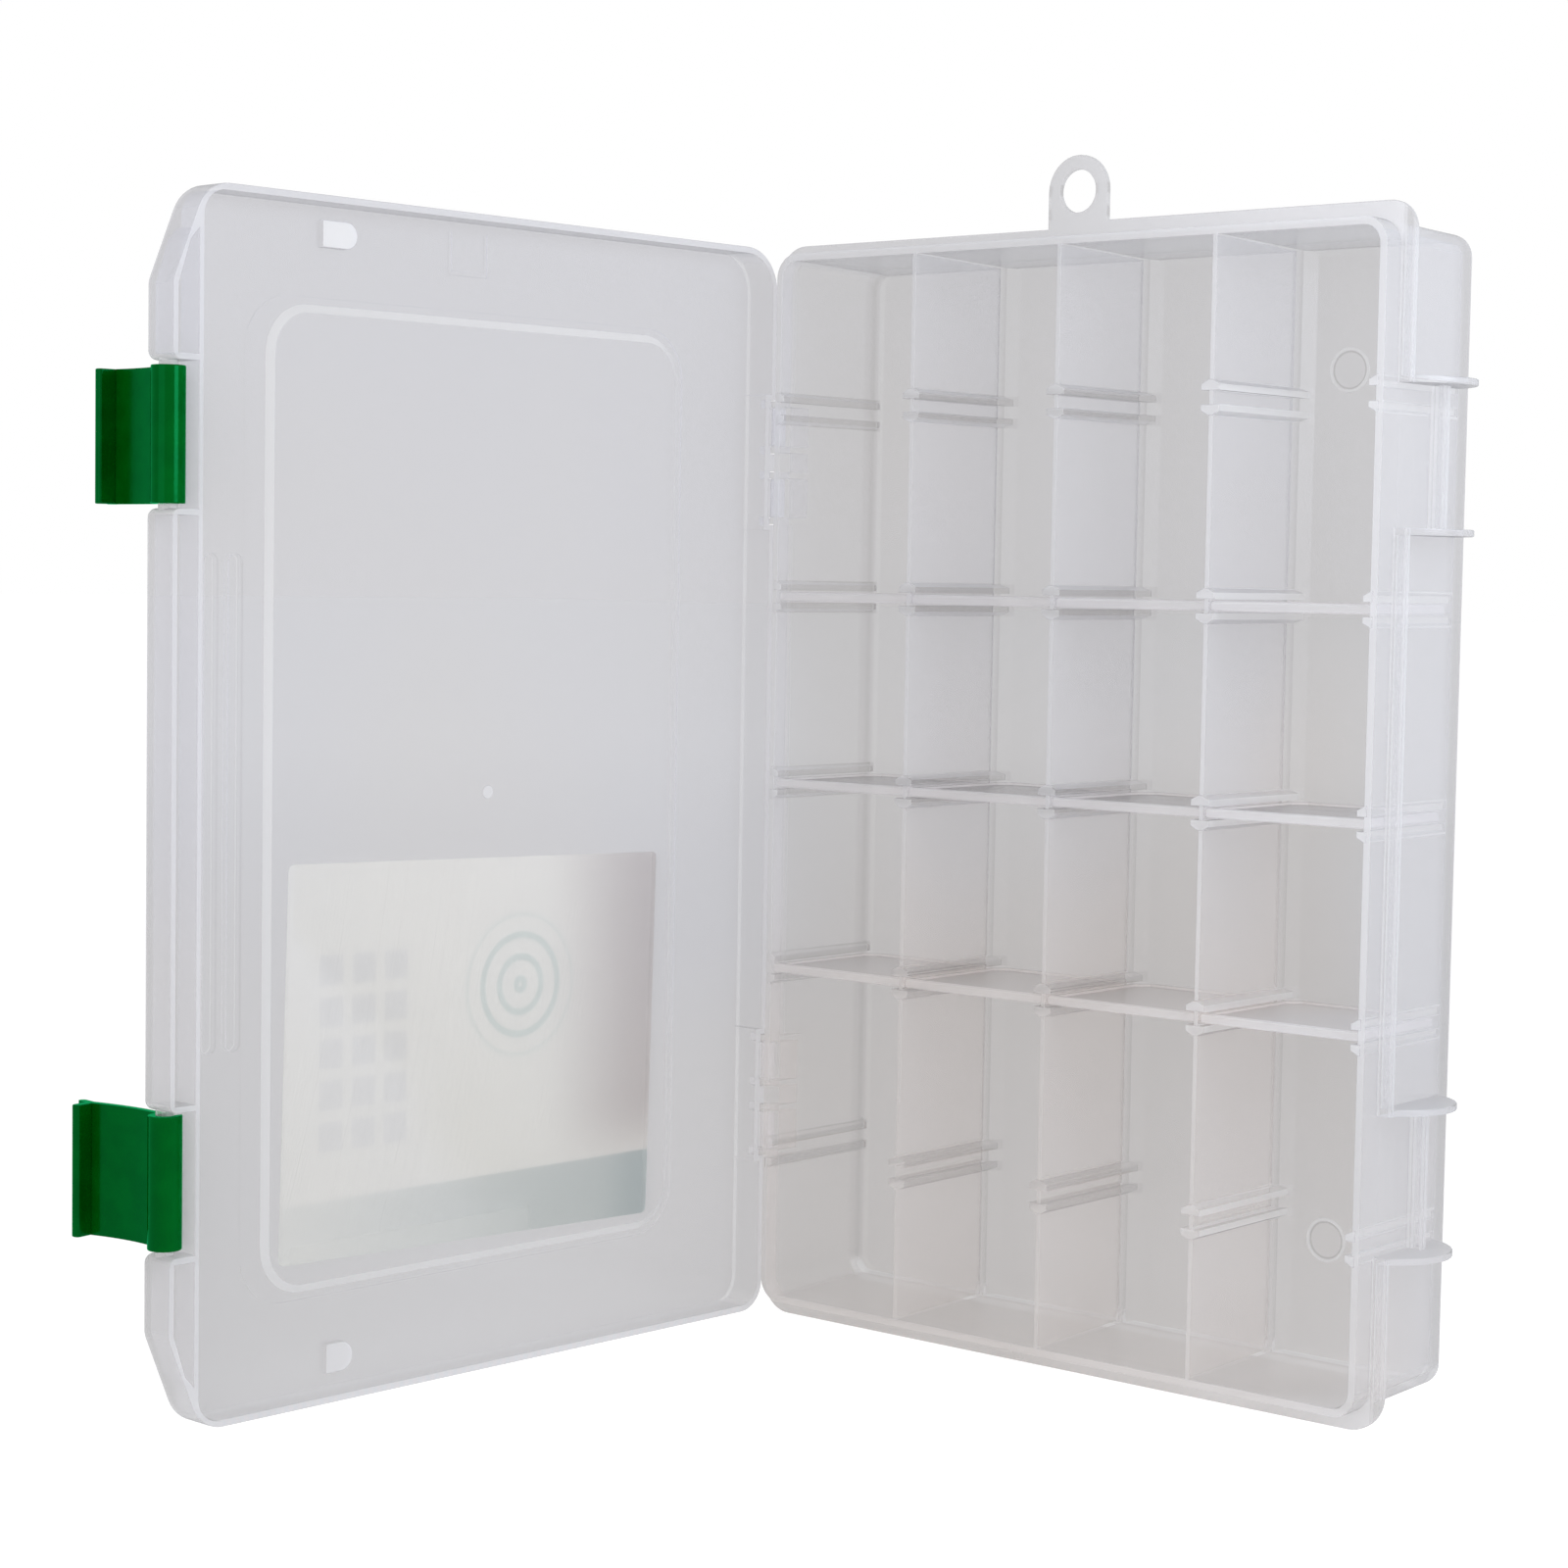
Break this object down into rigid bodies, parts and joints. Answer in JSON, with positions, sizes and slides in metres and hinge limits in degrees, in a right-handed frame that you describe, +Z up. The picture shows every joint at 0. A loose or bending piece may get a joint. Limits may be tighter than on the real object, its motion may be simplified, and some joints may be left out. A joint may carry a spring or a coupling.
{
  "type": "fishing lure box",
  "caption": "Flat clear plastic lure box, hinged open on its long edge: divided tray, lid with two green latches, loose cross dividers and a hang tab.",
  "frame": {"origin": "under the centre of the common bounding box, on the ground, with the box standing open on its lower long edge", "axes": "+Z up, along the hinge, from the lower end of the box to the hang tab; +Y away from the viewer, from the tray's mouth to its back; +X from the hinge to the tray's latch side"},
  "size_m": [0.3026, 0.2916, 0.3762],
  "materials": {
    "clear_plastic": "translucent, satin",
    "clear_plastic_lid": "translucent, satin",
    "clear_plastic_divider": "translucent, satin",
    "green_plastic": "gloss",
    "printed_sheet": "printed, satin"
  },
  "bodies": {
    "tray": {"tray": "clear_plastic"},
    "lid": {"lid": "clear_plastic_lid", "lid_sheet": "printed_sheet"},
    "latch_lower": {"latch_lower": "green_plastic"},
    "latch_upper": {"latch_upper": "green_plastic"},
    "divider_bottom_1": {"divider_bottom_1": "clear_plastic_divider"},
    "divider_bottom_2": {"divider_bottom_2": "clear_plastic_divider"},
    "divider_bottom_3": {"divider_bottom_3": "clear_plastic_divider"},
    "divider_bottom_4": {"divider_bottom_4": "clear_plastic_divider"},
    "divider_middle_1": {"divider_middle_1": "clear_plastic_divider"},
    "divider_middle_2": {"divider_middle_2": "clear_plastic_divider"},
    "divider_middle_3": {"divider_middle_3": "clear_plastic_divider"},
    "divider_middle_4": {"divider_middle_4": "clear_plastic_divider"},
    "divider_top_1": {"divider_top_1": "clear_plastic_divider"},
    "divider_top_2": {"divider_top_2": "clear_plastic_divider"},
    "divider_top_3": {"divider_top_3": "clear_plastic_divider"},
    "divider_top_4": {"divider_top_4": "clear_plastic_divider"}
  },
  "joints": [
    {"name": "lid_hinge", "type": "hinge", "parent": "tray", "child": "lid", "pos_m": [-0.09422, 0.10081, 0.178], "axis": [0, 0, -1], "range_deg": [-92.8, 87.2]},
    {"name": "latch_lower_pivot", "type": "hinge", "parent": "lid", "child": "latch_lower", "pos_m": [-0.11351, -0.13814, 0.07178], "axis": [0, 0, -1], "range_deg": [-171, 19]},
    {"name": "latch_upper_pivot", "type": "hinge", "parent": "lid", "child": "latch_upper", "pos_m": [-0.11351, -0.13814, 0.28278], "axis": [0, 0, -1], "range_deg": [-185, 5]},
    {"name": "divider_bottom_1_slide", "type": "slide", "parent": "tray", "child": "divider_bottom_1", "axis": [0, -1, 0], "range_m": [0, 0.06]},
    {"name": "divider_bottom_2_slide", "type": "slide", "parent": "tray", "child": "divider_bottom_2", "axis": [0, -1, 0], "range_m": [0, 0.06]},
    {"name": "divider_bottom_3_slide", "type": "slide", "parent": "tray", "child": "divider_bottom_3", "axis": [0, -1, 0], "range_m": [0, 0.06]},
    {"name": "divider_bottom_4_slide", "type": "slide", "parent": "tray", "child": "divider_bottom_4", "axis": [0, -1, 0], "range_m": [0, 0.06]},
    {"name": "divider_middle_1_slide", "type": "slide", "parent": "tray", "child": "divider_middle_1", "axis": [0, -1, 0], "range_m": [0, 0.06]},
    {"name": "divider_middle_2_slide", "type": "slide", "parent": "tray", "child": "divider_middle_2", "axis": [0, -1, 0], "range_m": [0, 0.06]},
    {"name": "divider_middle_3_slide", "type": "slide", "parent": "tray", "child": "divider_middle_3", "axis": [0, -1, 0], "range_m": [0, 0.06]},
    {"name": "divider_middle_4_slide", "type": "slide", "parent": "tray", "child": "divider_middle_4", "axis": [0, -1, 0], "range_m": [0, 0.06]},
    {"name": "divider_top_1_slide", "type": "slide", "parent": "tray", "child": "divider_top_1", "axis": [0, -1, 0], "range_m": [0, 0.06]},
    {"name": "divider_top_2_slide", "type": "slide", "parent": "tray", "child": "divider_top_2", "axis": [0, -1, 0], "range_m": [0, 0.06]},
    {"name": "divider_top_3_slide", "type": "slide", "parent": "tray", "child": "divider_top_3", "axis": [0, -1, 0], "range_m": [0, 0.06]},
    {"name": "divider_top_4_slide", "type": "slide", "parent": "tray", "child": "divider_top_4", "axis": [0, -1, 0], "range_m": [0, 0.06]}
  ]
}
